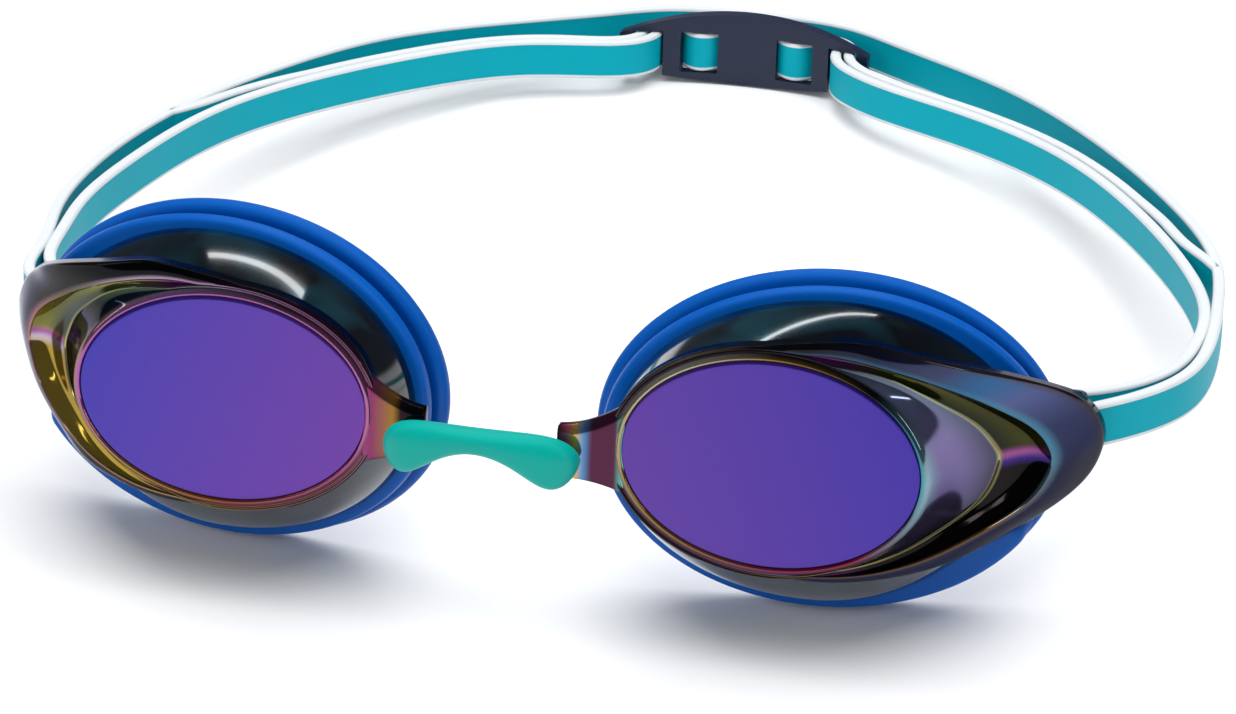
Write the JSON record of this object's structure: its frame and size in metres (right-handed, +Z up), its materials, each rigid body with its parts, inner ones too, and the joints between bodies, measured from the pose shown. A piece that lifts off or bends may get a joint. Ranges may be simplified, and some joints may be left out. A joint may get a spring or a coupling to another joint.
{
  "type": "swim goggles",
  "caption": "Racing swim goggles with mirror-coated swept eye cups, soft double-flange gaskets, a nose bridge and a split silicone head strap held by a rear clip.",
  "frame": {"origin": "middle of the footprint, on the surface that the gaskets and the clip rest on", "axes": "+X towards the temple end of the right cup as seen from the front, +Y from the lenses back to the clip, +Z up; the lens faces look along -Y and are tipped up by about nine degrees"},
  "size_m": [0.1598, 0.1724, 0.0431],
  "materials": {
    "mirror_frame": "polycarbonate with a dark mirror coat",
    "mirror_lens": "polycarbonate with a violet mirror coat",
    "blue_gasket": "satin silicone",
    "teal_bridge": "satin silicone",
    "navy_clip": "satin",
    "teal_strap": "satin silicone with white edges"
  },
  "bodies": {
    "bridge": {"nose_bridge": "teal_bridge"},
    "right_cup": {"right_frame": "mirror_frame", "right_lens": "mirror_lens", "right_gasket": "blue_gasket", "right_strap_root": "teal_strap"},
    "left_cup": {"left_frame": "mirror_frame", "left_lens": "mirror_lens", "left_gasket": "blue_gasket", "left_strap_root": "teal_strap"},
    "strap_rear": {"strap_clip": "navy_clip", "strap_back": "teal_strap", "right_strap_branch": "teal_strap", "left_strap_branch": "teal_strap", "right_strap_end": "teal_strap", "left_strap_end": "teal_strap"}
  },
  "joints": [
    {"name": "right_cup_swivel", "type": "hinge", "parent": "bridge", "child": "right_cup", "pos_m": [0.0094, -0.08136, 0.02617], "axis": [0, 0.1471, 0.9891], "range_deg": [-10, 15], "stiffness_Nm_per_rad": 0.05, "deforming": ["nose_bridge", "right_strap_root", "right_strap_end"]},
    {"name": "left_cup_swivel", "type": "hinge", "parent": "bridge", "child": "left_cup", "pos_m": [-0.0094, -0.08136, 0.02617], "axis": [0, -0.1471, -0.9891], "range_deg": [-10, 15], "stiffness_Nm_per_rad": 0.05, "deforming": ["nose_bridge", "left_strap_root", "left_strap_end"]},
    {"name": "strap_stretch", "type": "slide", "parent": "bridge", "child": "strap_rear", "axis": [0, 1, 0], "range_m": [0, 0.04], "stiffness_N_per_m": 100, "deforming": ["right_strap_root", "left_strap_root", "right_strap_end", "left_strap_end", "right_strap_branch", "left_strap_branch", "strap_back"]}
  ]
}
